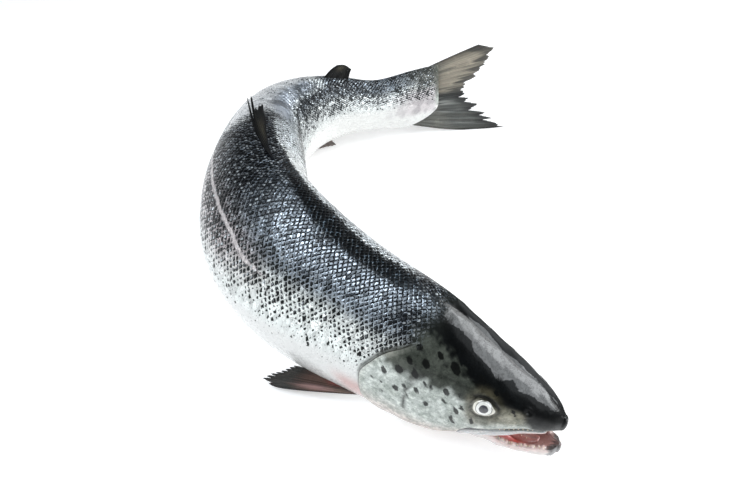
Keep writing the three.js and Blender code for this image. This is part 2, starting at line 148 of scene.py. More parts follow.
def place(s, n, z):
    """From the straight fish to its place on the table."""
    s, n, z = np.broadcast_arrays(np.asarray(s, float), n, z)
    at = s / SPINE_END * SPINE_STEPS
    i = clip(np.floor(at).astype(int), 0, SPINE_STEPS - 1)
    f = at - i
    x = lerp(spine_x[i], spine_x[i + 1], f)
    y = lerp(spine_y[i], spine_y[i + 1], f)
    turn = lerp(spine_turn[i], spine_turn[i + 1], f)
    return stack([x - n * sin(turn), y + n * cos(turn), maximum(z, 0)], -1)


def heights(s):
    low, top = belly(s) * FORK, back(s) * FORK
    return low, top, lerp(low, top, waist(s)), (low + top) / 2


def section(s, angle):
    low, top, middle, centre = heights(s)
    c, d = cos(angle), sin(angle)
    power = np.where(c > 0, 2 / BACK_SQUARENESS, 2 / squareness(s))
    up = np.sign(c) * abs(c) ** power
    n = half_width(s) * FORK * np.sign(d) * abs(d) ** power
    z = middle + np.where(up > 0, top - middle, middle - low) * up
    c, d = cos(roll(s)), sin(roll(s))
    return n * c + (z - centre) * d, centre - n * d + (z - centre) * c


def skin(s, angle, out=0.0):
    """A point of the skin, lifted by out."""
    s, angle = np.broadcast_arrays(np.asarray(s, float), np.asarray(angle, float))
    n, z = section(s, angle)
    n1, z1 = section(s, angle + .02)
    n0, z0 = section(s, angle - .02)
    length = hypot(n1 - n0, z1 - z0) + 1e-12
    return place(s, n - (z1 - z0) / length * out, z + (n1 - n0) / length * out)


def girth(s):
    """Half the mean thickness of a section, for distances measured around it."""
    low, top, _, _ = heights(s)
    return ((top - low) / 2 + half_width(s) * FORK) / 2


def line_distance(s, degrees, *points):
    """Millimetres over the skin from a line through (s, degrees) points, for either side alike."""
    around = radians(degrees) * girth(s)
    best = np.full(np.shape(s), 1e3)
    for (s0, d0), (s1, d1) in zip(points[:-1], points[1:]):
        g0, g1 = girth(s0), girth(s1)
        ax, ay, bx, by = s0 * FORK, radians(d0) * g0, s1 * FORK, radians(d1) * g1
        dx, dy = bx - ax, by - ay
        t = clip(((s * FORK - ax) * dx + (around - ay) * dy) / (dx * dx + dy * dy), 0, 1)
        best = minimum(best, hypot(s * FORK - ax - t * dx, around - ay - t * dy))
    return best


# Materials

class Number:
    """A number in a node graph that can be added, multiplied and so on."""

    def __init__(self, graph, socket):
        self.graph, self.socket = graph, socket

    def __rsub__(self, a):
        return self.graph.math("SUBTRACT", a, self)


for _name, _kind in {"__add__": "ADD", "__radd__": "ADD", "__sub__": "SUBTRACT", "__mul__": "MULTIPLY",
                     "__rmul__": "MULTIPLY", "__truediv__": "DIVIDE", "__pow__": "POWER", "floor": "FLOOR",
                     "root": "SQRT", "size": "ABSOLUTE", "least": "MINIMUM", "most": "MAXIMUM"}.items():
    setattr(Number, _name, lambda self, *others, kind=_kind: self.graph.math(kind, self, *others))


class Graph:
    """One procedural material. fixed holds values set on the shader's own sockets."""

    def __init__(self, name, **fixed):
        self.material = bpy.data.materials.new(name)
        self.material.use_nodes = True
        self.tree = self.material.node_tree
        self.shader = self.tree.nodes["Principled BSDF"]
        self.where = self.node("TexCoord").outputs["Object"]
        self.finish(**fixed)

    def feed(self, socket, value):
        if isinstance(value, (Number, bpy.types.NodeSocket)):
            self.tree.links.new(getattr(value, "socket", value), socket)
        elif hasattr(value, "__len__"):
            socket.default_value = (*value, 1.0) if len(socket.default_value) == 4 else tuple(value)
        else:
            socket.default_value = value

    def node(self, kind, inputs=(), **settings):
        """A node with its inputs fed from a sequence, or from a dictionary of their names or places."""
        node = self.tree.nodes.new("ShaderNode" + kind)
        for key, value in settings.items():
            setattr(node, key, value)
        for at, value in inputs.items() if isinstance(inputs, dict) else enumerate(inputs):
            self.feed(node.inputs[at], value)
        return node

    def first(self, kind, inputs, **settings):
        return Number(self, self.node(kind, inputs, **settings).outputs[0])

    def math(self, name, *values):
        return self.first("Math", values, operation=name)

    def number(self, name):
        return Number(self, self.node("Attribute", attribute_name=name).outputs["Fac"])

    def colour(self, name):
        return self.node("Attribute", attribute_name=name).outputs["Color"]

    def range(self, x, low, high, to_low=0.0, to_high=1.0, kind="LINEAR"):
        return self.first("MapRange", (x, low, high, to_low, to_high), interpolation_type=kind)

    def step(self, x, low, high):
        return self.range(x, low, high, kind="SMOOTHSTEP")

    def mix(self, share, a, b, kind="MIX"):
        return self.node("Mix", {0: share, 6: a, 7: b}, data_type="RGBA", blend_type=kind).outputs[2]

    def dye(self, share, colour, *factors):
        """The colour with a share of it multiplied by the factors."""
        return self.mix(share, colour, factors, "MULTIPLY")

    def join(self, *xyz):
        return self.node("CombineXYZ", xyz).outputs[0]

    def chart(self, name):
        parts = self.node("SeparateXYZ", [self.node("UVMap", uv_map=name).outputs[0]])
        return Number(self, parts.outputs[0]), Number(self, parts.outputs[1])

    def noise(self, scale, detail=2.0, rough=.5):
        inputs = {"Vector": self.where, "Scale": scale, "Detail": detail, "Roughness": rough}
        return self.first("TexNoise", inputs)

    def dice(self, x, y):
        """Three random numbers for each whole x and y."""
        noise = self.node("TexWhiteNoise", [self.join(x, y)], noise_dimensions="2D")
        parts = self.node("SeparateColor", [noise.outputs["Color"]])
        return [Number(self, o) for o in parts.outputs]

    def relief(self, height, millimetres):
        return self.node("Bump", {"Distance": millimetres * MM, "Height": height}).outputs[0]

    def finish(self, **sockets):
        for key, value in sockets.items():
            self.feed(self.shader.inputs[key.replace("_", " ")], value)
        return self.material


# Scales: rows of overlapping scales, U along the fish and V around it, odd rows half a scale over

AROUND = 60        # scales around the fish
COLUMNS = 180      # points around it
LEAN = .9          # rows by which a scale lies further forward than its neighbour towards the back
ARC_LOW, ARC_HIGH = .05, 1.0   # where a scale's free edge lies, at its sides and in its middle
pitch_at = profile({0: 2.25, .5: 2.25, .7: 2.1, .945: 1.9})
_s = linspace(0, 1, 2001)
_rows = concatenate([[0], np.cumsum(FORK * np.diff(_s) / pitch_at((_s[1:] + _s[:-1]) / 2))])


def scale_row(s):
    return interp(s, _s, _rows)


def scale_lean(V):
    return LEAN * sqrt((V - AROUND / 2) ** 2 + 1)


def scale_edge(d):
    """The free edge of a scale, for d from -.5 to .5 across it: between an arc and a point."""
    shape = .5 * sqrt(maximum(1 - 4 * d * d, 0)) + .5 - abs(d)
    return ARC_LOW + (ARC_HIGH - ARC_LOW) * shape


def scale_lift(U, V):
    """Height of the scales at U, V, from 0 where one comes out to 1 at its free edge."""
    def row(i):
        d = V - (i % 2) / 2
        return d - np.floor(d + .5)
    i = np.floor(U)
    i = np.where(i + scale_edge(row(i)) < U, i + 1, i)
    d = row(i)
    w = i + scale_edge(d) - U
    length = 1 + scale_edge(d) - scale_edge(.5 - abs(d))
    return 1 - clip(w / length, 0, 1)


def scales(g, U, V):
    """The same in nodes: share of the way in from the free edge, place across, length, and dice."""
    def shape(d):
        arc = (1 - d * d * 4).most(0).root()
        return (arc * .5 + .5 - d.size()) * (ARC_HIGH - ARC_LOW) + ARC_LOW

    def row(i):
        off = i / 2 - (i / 2).floor()
        j = (V - off + .5).floor()
        return j, V - off - j
    i = U.floor()
    _, d = row(i)
    i = i + g.math("LESS_THAN", i + shape(d) - U, 0)
    j, d = row(i)
    edge = shape(d)
    length = edge - shape(.5 - d.size()) + 1
    return (i + edge - U) / length.most(.05), d, length, g.dice(i, j)


# Pieces

END_ROWS = 6       # rings that round off the snout and the chin


def put(name, data):
    thing = bpy.data.objects.new(name, data)
    bpy.context.scene.collection.objects.link(thing)
    return thing


def mesh_piece(name, shape, material, slot, **fields):
    """A piece from its points, quads, triangles and charts, UV maps with a pair for each corner of the
    quads, then of the triangles. fields gives each point numbers or colours."""
    points, quads, tris, charts = shape
    fans = concatenate([tris, quads[:, :3], quads[:, [0, 2, 3]]])
    a, b, c = (points[fans[:, k]] for k in range(3))
    turn = -1 if np.einsum("ij,ij->", a, np.cross(b, c)) < 0 else 1
    quads, tris = quads[:, ::turn], tris[:, ::turn]
    mesh = bpy.data.meshes.new(name)
    mesh.from_pydata((points * MM).tolist(), [], quads.tolist() + tris.tolist())
    for key, values in fields.items():
        if values.ndim == 2:
            values = concatenate([values, np.ones((len(points), 1))], 1)
        kind, part = ("FLOAT_COLOR", "color") if values.ndim == 2 else ("FLOAT", "value")
        mesh.attributes.new(key, kind, "POINT").data.foreach_set(part, values.astype(np.float32).ravel())
    for key, parts in charts.items():
        uv = concatenate([part[:, ::turn].ravel() for part in parts])
        mesh.uv_layers.new(name=key).data.foreach_set("uv", uv.astype(np.float32))
    mesh.shade_smooth()
    mesh.materials.append(material)
    piece = put(name, mesh)
    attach(piece, "root")
    return piece


def tube(rings, first, last, **charts):
    """The shape of rings of points closed with a point at either end. charts are (rings, points + 1, 2)."""
    R, C = rings.shape[:2]
    points = concatenate([rings.reshape(-1, 3), [first, last]])
    r, c = np.indices((R - 1, C))
    n = (c + 1) % C
    quads = stack([r * C + c, r * C + n, (r + 1) * C + n, (r + 1) * C + c], -1).reshape(-1, 4)
    k = arange(C)
    m = (k + 1) % C
    tris = concatenate([stack([np.full(C, R * C), m, k], -1),
                        stack([np.full(C, R * C + 1), (R - 1) * C + k, (R - 1) * C + m], -1)])
    made = {}
    for key, uv in charts.items():
        on_quads = stack([uv[r, c], uv[r, c + 1], uv[r + 1, c + 1], uv[r + 1, c]], -2)
        start, end = (uv[0, k] + uv[0, k + 1]) / 2, (uv[-1, k] + uv[-1, k + 1]) / 2
        on_tris = concatenate([stack([start, uv[0, k + 1], uv[0, k]], -2),
                               stack([end, uv[-1, k], uv[-1, k + 1]], -2)])
        made[key] = (on_quads.reshape(-1, 4, 2), on_tris)
    return points, quads, tris, made


def capped(values, ahead=0, ends=None):
    """Values for all points of a tube: its rings, the first of them ahead times more, and its ends."""
    ends = ends or (values[0].mean(0), values[-1].mean(0))
    values = concatenate([np.repeat(values[:1], ahead, 0), values])
    return concatenate([values.reshape(-1, *values.shape[2:]), ends])


def unit_chart(rings):
    R, C = rings.shape[:2]
    return stack(np.meshgrid(linspace(.01, .99, R), linspace(.01, .99, C + 1), indexing="ij"), -1)


def rounded(rings, reach):
    """The rings with a rounded end in front of them, and its tip."""
    centre = rings[0].mean(0)
    forward = place(-1, 0, 0) - place(0, 0, 0)
    forward = forward / np.linalg.norm(forward) * reach
    turns = arange(1, END_ROWS + 1) / (END_ROWS + 1) * pi / 2
    ahead = [lerp(centre, rings[0], sin(t)) + forward * cos(t) for t in turns]
    return concatenate([ahead, rings]), centre + forward


# Colours

BACK_DARK, BACK_RIM = (.035, .045, .06), (.46, .50, .54)
FLANK_DARK, SILVER, BELLY = (.06, .075, .075), (.92, .94, .93), (.88, .88, .87)
HEAD_TOP, OLIVE, CHEEK = (.035, .045, .05), (.29, .305, .28), (.84, .86, .84)
THROAT, BEIGE, GUM = (.86, .80, .77), (.62, .60, .53), (.80, .60, .56)
SPOT = (.03, .035, .035)

EYE_AT = (.0765, 73.0)
EYE_BULGE = 2.4
NOSTRIL_AT = (.0345, 57)

# Dark spots of the head and the gill cover: s, degrees from the back, radius in mm
HEAD_SPOTS = [
    (.1835, 76, 3), (.1677, 69, 4), (.1509, 65, 3.8), (.1593, 58, 3.4), (.1426, 54, 4), (.1321, 43, 3),
    (.1142, 45, 5), (.1950, 87, 1.5), (.1845, 86, 1.5), (.1835, 93, 1.5), (.1677, 84, 3), (.1593, 79, 2.6),
    (.1457, 77, 2.5), (.1384, 69, 2.5), (.1321, 69, 2), (.1541, 85, 2), (.1342, 84, 2.5), (.1163, 67, 3),
    (.1163, 77, 2.5), (.1027, 84, 3), (.1045, 93, 2.5), (.0859, 91, 2), (.0975, 79, 2), (.1027, 66, 1.5),
    (.1541, 47, 3), (.0597, 45, 3.5), (.0691, 47, 2.5), (.0471, 65, 2.2), (.0859, 41, 3.5),
]

GROOVE = ((.1363, 59), (.1205, 56.5), (.0996, 56.5), (.0828, 58), (.0628, 58))
PREOPERCLE = ((.1415, 62), (.1499, 70), (.1562, 79), (.1583, 88), (.1583, 98))
BROW = ((.09, 62), (.078, 59.5), (.066, 61.5), (.061, 66))
LATERAL = ((.19, 66), (.3, 74), (.38, 72), (.4048, 66), (.4447, 62), (.4877, 61), (.56, 66), (.65, 78),
           (.75, 86), (.94, 90))
CREASE = ((.7005, 15), (.683, 39), (.6216, 47), (.568, 55), (.5175, 63))

pigment_edge = profile({.14: 80, .2: 92, .26: 94, .3: 98, .36: 104, .42: 112, .47: 108, .51: 96, .6: 92,
                        .7: 90, .8: 90, .92: 96})

# Where the wet streak along the top of the head runs, the dark ridge of the back and the strip
# beyond it that is painted bright as a reflection, in degrees
streak_low = profile({0: 28, .03: 24, .047: 27, .06: 22, .071: 31, .087: 23, .1: 22, .112: 14, .123: 12,
                      .15: 21})
streak_high = profile({0: 12, .017: -9, .038: -10, .058: -13.5, .08: -8, .1025: -14.5, .126: -9, .153: -1})
ridge_low = profile({.16: 15, .295: 17.5, .35: 9.5, .415: -3, .47: -14})
ridge_high = profile({.16: -9, .216: -6, .234: -3, .278: -4, .33: -9, .36: -9, .41: -15, .46: -14, .5: -7,
                      .6: -8})
band_end = profile({0: 66, .068: 56, .0915: 50, .107: 45, .126: 37, .147: 33})


def spot_distance(s, degrees, right):
    """Millimetres from the rim of the nearest head spot, negative inside one."""
    best = np.full(np.shape(s), 40.0)
    shift = np.random.default_rng(8)
    around = radians(degrees) * girth(s)
    for s0, d0, radius in HEAD_SPOTS:
        ds, dd, dr = shift.normal(0, .004), shift.normal(0, 3), shift.uniform(.7, 1.3)
        for which, s1, d1, r1 in ((right, s0, d0, radius), (~right, s0 + ds, d0 + dd, radius * dr)):
            away = hypot((s - s1) * FORK, (around - radians(d1) * girth(s1)) * 1.2)
            best = np.where(which, minimum(best, away - r1 * .85 - .45), best)
    return best


def eye_distance(s, degrees):
    """Over the skin from the middle of the eye, and the angle there, 0 towards the tail."""
    x = (s - EYE_AT[0]) * FORK
    y = radians(degrees - EYE_AT[1]) * girth(EYE_AT[0])
    return hypot(x, y), np.arctan2(y, x)


def socket_radius(turn):
    """The eye's opening: an oval along the head, drawn out to a point in front."""
    oval = ((cos(turn) / 9.0) ** 2 + (sin(turn) / 6.9) ** 2) ** -.5
    return oval + 1.3 * bump(wrap(turn + 3.0), 0, .36)


def head_colour(s, degrees):
    ragged = 3.5 * waves(s * 500, degrees * .5, 14)
    flank = layered(OLIVE, ((.45, .46, .42), smooth(s, .16, .2)), ((.30, .30, .25), smooth(s, .09, .03)))
    low = smooth(degrees + ragged, band_end(s) - 3, band_end(s) + 4) * smooth(s, .035, .09)
    edge = 67 + 3 * waves(s * 300, degrees * .3, 4) + 8 * smooth(s, .07, .02)
    cheek = layered(CHEEK, (THROAT, smooth(degrees, 95, 130)))
    pale = smooth(degrees, edge - 3, edge + 7 + 8 * smooth(s, .08, .03))
    away, _ = eye_distance(s, degrees)
    front = span(s, .02, .045, .082, .1) * span(degrees, 56, 68, 84, 98)
    snout = smooth(s + .0003 * (degrees - 60), .044, .034) * smooth(degrees, 114, 100)
    mouth = smooth(s, .1, .085) * smooth(degrees, 118 + 10 * smooth(s, .02, 0), 132)
    # round the eye an olive ring of painted shade
    return layered(HEAD_TOP, (OLIVE, smooth(s, .13, .165) * .35), (flank, low), (cheek, pale),
                   (BEIGE, front * .85), ((.36, .34, .27), bump(away, 12, 3.5) * .6),
                   ((.055, .06, .065), snout * .95), (GUM, mouth))


HEAD_ROWS = 66       # rings of points from the snout to the gill cover's edge
LEAD_ROWS = 20       # rings behind the gill cover, up to where they follow the rows of scales
FOLLOW_FROM = .262   # where that is
SPARSE_FROM = .72    # where the rings begin to lie further apart
ROW_STEP, SPARSE_STEP = .5, .75   # rows of scales from ring to ring, before and behind there
SHOULDER_GAP = 5.0   # millimetres from the gill cover's edge to the first of the rings behind it

# The rim of the gill cover, the slit under it and the shoulder: mm behind the edge, and lift
COVER_RIM = [(0, 3.2), (.7, 2.95), (.95, 2.4), (.5, 1.8), (-1.5, 1.3), (-4.5, .9), (-5.6, .1), (-4, -.6),
             (-1.2, -.5), (2.6, 0)]


def skin_rings(edge, free):
    """Rings of points from the snout to the body's end: s at each angle, and the lift of the gill cover."""
    rows = []
    for i in range(HEAD_ROWS):
        s = edge * (i / HEAD_ROWS) ** 1.3
        rows.append((s, GILL_LIFT * free * smooth(s, edge - .09, edge - .008)))
    for k, (behind, lift) in enumerate(COVER_RIM):
        rows.append((edge + lerp(.45 * k, behind, free) / FORK, lift * free))
    flat = 0 * free
    start, stop = scale_row(FOLLOW_FROM), scale_row(BODY_END)
    first = interp(start, _rows, _s)
    for i in range(LEAD_ROWS):
        rows.append((lerp(edge + SHOULDER_GAP / FORK, first, i / LEAD_ROWS), flat))
    sparse = start + np.floor(scale_row(SPARSE_FROM) - start)
    for row in (*arange(start, sparse, ROW_STEP), *arange(sparse, stop - .2, SPARSE_STEP)):
        rows.append((flat + interp(row, _rows, _s), flat))
    rows.append((flat + BODY_END, flat))
    return array(rows).transpose(1, 0, 2)


def make_skin():
    a = arange(COLUMNS) / COLUMNS * 360 - 180
    edge = gill_edge(abs(a))
    free = span(abs(a), 42, 62, 150, 172)   # of the shoulder, where the gill cover is open
    s, out = skin_rings(edge, free)
    a = np.broadcast_to(a, s.shape)
    A, D, right = radians(a), abs(a), a >= 0
    s = s - .05 * smooth(D, 104, 165) * smooth(s, .84, BODY_END)
    U, V = scale_row(s), arange(COLUMNS + 1) * (AROUND / COLUMNS)
    behind = s - edge
    away, turn = eye_distance(s, D)
    socket = socket_radius(turn)
    lateral, groove, cheek, brow = (line_distance(s, D, *x) for x in (LATERAL, GROOVE, PREOPERCLE, BROW))
    low, high = ridge_low(s), ridge_high(s)
    # zones of the body: the far side painted bright as a reflection, the bend painted pale as a highlight,
    # the painted sheen, the dark ridge and the painted shade of its folds
    far_reflection = smooth(a, high + 1, high - 4) * span(s, .185, .215, .6, .68) * (1 - .6 * smooth(-a, 36, 54))
    early = .024 * smooth(a, 4, 22)
    bend = span(s, .555 - early, .6 - early, .705, .77) * smooth(a, -42, -24) * (1 - .75 * smooth(a, 34, 60))
    shade = bump(s, .44, .06) * bump(a, 20, 22)
    sheen = span(s, .17, .21, .33, .43) * smooth(a - low, -3, 5) * smooth(a, 62, 38)
    sheen = minimum(sheen + 1.1 * bump(a, 15, 9) * span(s, .142, .152, .19, .23), 1.1)
    pigment = smooth(D, pigment_edge(s) + 10, pigment_edge(s) - 52)
    # fewer dark scales where the far side's reflection and the bend's highlight are painted
    highlit_pigment = pigment * (1 - (.58 + .24 * bump(s, .43, .05)) * far_reflection) * (1 - .8 * bend)
    pigment = highlit_pigment + .25 * shade * (1 - pigment)
    ridge = span(a, high - 2, high + 3, low - 3, low + 3) * smooth(s, .17, .2) * (1 - bend)
    streak = radians(minimum(a - streak_high(s), streak_low(s) - a)) * girth(s)
    streak = minimum(streak, (.158 - s) * FORK)
    # painted shade along the crease of the bend and in waves over the bend as its folds; a dark patch just
    # behind the dorsal fin
    crease_shade = bump(line_distance(s, -a, *CREASE), 0, 3.0) * smooth(s, .5, .55)
    patch = bump((s - .566) * FORK, 0, 6) * bump(a, -9, 12)
    fold_shade = bend * smooth(waves(s * 190 + a * .14, a * .06, 31, 16), .1, .9) * smooth(a, 6, -10)
    # where scales lie
    nape = .150 + .008 * smooth(D, 10, 40)
    scaly = lerp(smooth(s, nape - .012, nape + .02), smooth(behind, .0025, .006), smooth(D, 40, 52))
    scaly = scaly * smooth(s, .945, .935)
    # relief
    lift = scale_lift(U - scale_lean(V[:-1]), V[:-1])
    out = out + .26 * (lift - .4) * scaly * smooth(s, .2, .27) * lerp(.45, 1, pigment)
    wrinkled = span(s, .585, .63, .72, .765) * np.where(right, smooth(D, 16, 0), smooth(D, 100, 60))
    out = out + .8 * wrinkled * waves(s * FORK * .5, A * 2, 2, 10)
    nostril = hypot((s - NOSTRIL_AT[0]) * FORK, radians(D - NOSTRIL_AT[1]) * girth(NOSTRIL_AT[0]))
    out = out - .4 * bump(lateral, 0, 1.3) * smooth(behind, .0, .02) - .6 * smooth(away / socket, 1, .8)
    for lift, distance, centre, width in (
            (-.35, groove, 0, 1.7), (-.5, cheek, 0, .8), (-.9, brow, 0, 1.2), (.6, brow, 3.0, 1.5),
            (-1.2, away, socket + .6, 1.5), (-2.0, nostril, 0, 1.6), (.7, nostril, 3.0, 1.0)):
        out = out + lift * bump(distance, centre, width)
    uneven = (.26 * waves(s * FORK * .22, A * girth(s) * .25, 6, 30)
              + .04 * waves(s * FORK * .9, A * girth(s) * .9, 16, 40))
    out = out + uneven * smooth(behind, .004, -.001)
    # turns the gloss of the far side of the head towards its top
    slope = .6 * girth(s) * radians(clip(-a - 6, 0, 30)) * smooth(s, .19, .15)
    rings, tip = rounded(skin(s, A, out), 3.5)
    # colours of the scales: the pale ones, and the dark ones over them
    stalk = smooth(s, .87, .93) * smooth(D, 84, 58)
    blush = bump(lateral, 0, 16) * span(s, .33, .38, .5, .56) * right
    mauve = span(s, .38, .42, .5, .55) * bump(D, 80, 13) * right
    hind = smooth(s, .60, .68) * bump(D, 68, 17)
    base = smooth(s, .85, .91) * span(D, 60, 76, 108, 126)
    shoulder = span(D, 96, 112, 124, 140) * span(behind, -.004, .006, .02, .05)
    pale = layered(BELLY, (SILVER, smooth(pigment, .02, .25)), (BACK_RIM, smooth(pigment, .7, .98)),
                   ((.72, .66, .66), blush * .6), ((.66, .58, .60), mauve * .6), ((.68, .69, .70), hind * .6),
                   ((.76, .73, .74), base * .75), ((.72, .42, .38), shoulder * .6))
    pigment = pigment - .36 * span(s, .19, .23, .38, .44) * bump(D, 55, 13) * right
    # the far side's painted reflection: pale grey, nearly white about s .43
    far_reflection_tone = layered((.80, .83, .85), ((.97, .98, .98), bump(s, .43, .06)))
    # the bend's painted highlight: grey, whiter towards the back
    bend_highlight_tone = layered((.60, .63, .67), ((.95, .96, .97), smooth(a, -14, 4)))
    # greyer mottling low on the tail stalk
    low_stalk_grey = smooth(s, .83, .92) * bump(D, 104, 26) * smooth(waves(s * 260, D * .22, 41), -.4, .9)
    pale = layered(pale, (far_reflection_tone, far_reflection * smooth(pigment, .02, .2)),
                   (bend_highlight_tone, clip(bend * 1.2, 0, 1)), ((.74, .79, .84), clip(sheen, 0, 1) * .9),
                   ((.21, .27, .31), ridge * .85),
                   # painted shade along the crease and in the folds of the bend, and the dark patch behind
                   # the dorsal fin
                   ((.22, .24, .26), clip(crease_shade * 1.1 + patch * 1.2 + fold_shade * .7, 0, .92)),
                   ((.46, .46, .43), stalk * .9), ((.62, .60, .61), low_stalk_grey * .75))
    # fewer dark scales on a spot at the left of the tail stalk: a painted highlight
    pigment = pigment - .12 * stalk - .5 * bump((s - .872) * FORK, 0, 17) * bump(a, -45, 13)
    dusk = layered(FLANK_DARK, (BACK_DARK, smooth(pigment, .5, .95)),
                   # in the bend the dark of the scales is painted paler too, part of its painted highlight
                   ((.34, .37, .40), bend * .6 * (1 - patch)), ((.27, .28, .27), stalk * .8),
                   ((.20, .22, .23), hind * .5),
                   ((.025, .035, .045), clip(ridge + shade, 0, 1) * .9))
    # colours of the smooth skin, on the head and at the tail
    lid = bump(away, socket + .9, 1.1 + 1.3 * bump(wrap(turn + 2.3), 0, .9))
    lines = bump(groove, 0, 1.3) * .4 + bump(cheek, 0, 1.2) * .9 + bump(brow, 0, 1.1) * .9 + lid * .85
    tone = layered(head_colour(s, D), ((.42, .42, .39), smooth(s, .86, .9) * smooth(D, 96, 70)),
                   ((.93, .93, .92), smooth(s, .86, .9) * smooth(D, 96, 110)),
                   ((.07, .07, .06), clip(lines, 0, .94)),
                   ((.74, .74, .70), bump(behind * FORK, -1.0, 1.6) * free * .65))
    lined = span(s, .29, .40, .53, .58)
    fields = dict(pigment=pigment, ridge=ridge, sheen=sheen, slope=slope, scaly=scaly, streak=streak,
                  spot=spot_distance(s, D, right) + .5 * waves(s * 900, A * 60, 3, 20),
                  slit=span(behind * FORK, .2, .7, 2, 4) * free, shine=.06 + .42 * smooth(D, 52, 74),
                  wild=smooth(s, .6, .7), line=lateral / (1 + lined) + 1.25 * (1 - lined),
                  pale=pale, dusk=dusk, tone=tone)
    lattice = stack([concatenate([U, U[:, :1]], 1) - scale_lean(V),
                     np.broadcast_to(V, (len(s), COLUMNS + 1))], -1)
    lattice = concatenate([np.repeat(lattice[:1], END_ROWS, 0), lattice])
    tail = place(BODY_END, 0, heights(BODY_END)[3])
    shape = tube(rings, tip, tail, OFBake=unit_chart(rings), Lattice=lattice)
    fields = {key: capped(values, END_ROWS) for key, values in fields.items()}
    piece = mesh_piece("scaled_skin", shape, skin_material(), "skin", **fields)
    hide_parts("salmon")


def skin_material():
    g = Graph("wet_skin", Coat_Roughness=.07, Coat_IOR=1.5, IOR=1.45, Specular_IOR_Level=.06)
    U, V = g.chart("Lattice")
    wobble_a, wobble_b = g.noise(110), g.noise(95)
    ripple_a, ripple_b = g.noise(330, 2, .6), g.noise(360, 2, .6)
    p, d, length, (dice_a, dice_b, dice_c) = scales(g, U + (wobble_a - .5) * .6 + (ripple_a - .5) * 1.1,
                                                    V + (wobble_b - .5) * .3 + (ripple_b - .5) * .55)
    pigment, scaly, sheen, ridge = (g.number(name) for name in ("pigment", "scaly", "sheen", "ridge"))
    # clumps of darker and paler scales
    clump, blot = g.noise(45, 4, .6), g.noise(210, 2, .6)
    some = g.step(pigment, .02, .3)
    wild = g.number("wild")
    dye = pigment + ((clump - .5) * (wild + .8) + (blot - .5) * (wild * 1.3 + .7)) * some
    # the dark middle of each scale, which shrinks towards the belly
    off = d + (dice_b - .5) * .16
    far = (((p - .6 + (dice_c - .5) * .2) / .5) ** 2 + (off / .36) ** 2).root()
    far = far + (ripple_a - .5) * 1.1 + (ripple_b - .5) * .7
    reach = dye * 1.3 + (dice_a - .5) * .6 * some - .04
    reach = reach + g.step(dice_b, .88, .97) * g.step(pigment, .0, .06) * .5
    dark = 1 - g.step(far, reach - .1, reach + .06)
    pale = g.colour("pale")
    vary = g.range(dice_c, 0, 1, .55, 1.15) * some + (1 - some)
    bright = g.mix(.95, pale, g.join(vary, vary, vary), "MULTIPLY")
    # a thin pale edge, and on the back a blue gleam in the middle of a scale
    rim = (1 - g.step(p, .02, .16)) * (1.15 - ridge * .6)
    gleam = 1 - g.step((((p - .38) / .34) ** 2 + (d / .32) ** 2).root(), .55, 1.05)
    # painted glints: small pale blue-white flecks on scattered scales
    glint_flake = 1 - g.step((((p - .36) / .3) ** 2 + ((d + p * .15 - .05) / .27) ** 2).root(), .55, .95)
    glint_flake = glint_flake * g.step(dice_c, .35, .8) * g.range(dice_b, 0, 1, .2, 1) * g.step(pigment, .35, .7)
    glint_flake = glint_flake * g.step(blot, .36, .58) * (1 - ridge) * (1 - sheen * .6).most(0)
    gleam = gleam * sheen * g.range(dice_b, 0, 1, .15, 1.15) * g.step(clump, .3, .5)
    gleam = gleam * g.step(pigment, .55, .8)
    dusk = g.mix((rim * g.range(dice_c, 0, 1, .1, .75)).most(gleam).least(1), g.colour("dusk"), pale)
    coat = g.mix(glint_flake, g.mix(dark, bright, dusk), tint(.86, .89, .91))
    gleam = gleam.most(glint_flake)
    line = 1 - g.step(g.number("line") + (blot - .5) * 3, .4, 1.6)
    coat = g.mix(line * (1 - dark * .35) * .95, coat, tint(.90, .87, .87))
    # the smooth head, mottled and spotted
    mottle, marble = g.noise(55, 5, .62), g.noise(170, 5, .74)
    fine = g.noise(420, 3, .6)
    vein = 1 - g.step((g.noise(170, 4, .65) - .5).size(), .0, .035)
    speck = g.step(g.noise(280, 4, .7), .54, .66) * g.step(mottle, .40, .56)
    head = g.colour("tone")
    for share, *factors in (
            (g.step(mottle, .4, .66) * .6, .50, .53, .50), (g.step(fine, .5, .75) * .3, 1.5, 1.5, 1.5),
            (g.step(marble, .47, .62) * .85, .50, .53, .51),
            ((1 - g.step(marble, .38, .47)) * .5, 1.35, 1.35, 1.32),
            ((speck * .6).most(vein * .35), .30, .32, .31)):
        head = g.dye(share, head, *factors)
    spot = 1 - g.step(g.number("spot") + (g.noise(300, 3) - .5) * 2.4, -.9, .4)
    head = g.mix(spot * .93, head, tint(*SPOT))
    # the gill slit painted dark red-brown: painted shade in it
    head = g.mix(g.number("slit") * .95, head, tint(.10, .05, .045))
    # relief and gloss
    dome = 1 - ((p - .45) * 1.5) ** 2 - (d * 1.6) ** 2
    scale = dome * .6 + g.step(p, 0, .1) * (1 - p) * length * .35
    height = scale * scaly * g.range(pigment, 0, .35, .25, 1)
    height = height + fine * .1 + (mottle * .3 + marble * .3) * (1 - scaly)
    silver = scaly * (1 - dark * .75).most(gleam) * g.range(pigment, 0, .4, .1, .75)
    rough = g.range(scaly, 0, 1, .34, .27) + (dice_a - .5) * .14 * scaly + fine * .08
    slope = g.number("slope")
    edge = g.number("streak") + (g.noise(110, 4, .7) - .5) * 7
    wet = g.step(edge, -.5, .5) * g.range(marble, .3, .7, 1, .72) * (1 - vein * .4)
    film = (1 - scaly) * wet.most(g.number("shine")) + scaly * ((1 - dark) * .75 + gleam * .5 + .15).least(1)
    return g.finish(Base_Color=g.mix(scaly, head, coat), Metallic=silver, Roughness=rough, Coat_Weight=film,
                    Normal=g.relief(height * .7 + slope, 1), Coat_Normal=g.relief(height * .4 + slope, 1))


# The mouth, as in the CAD part: t runs along the lower jaw from its tip into the throat

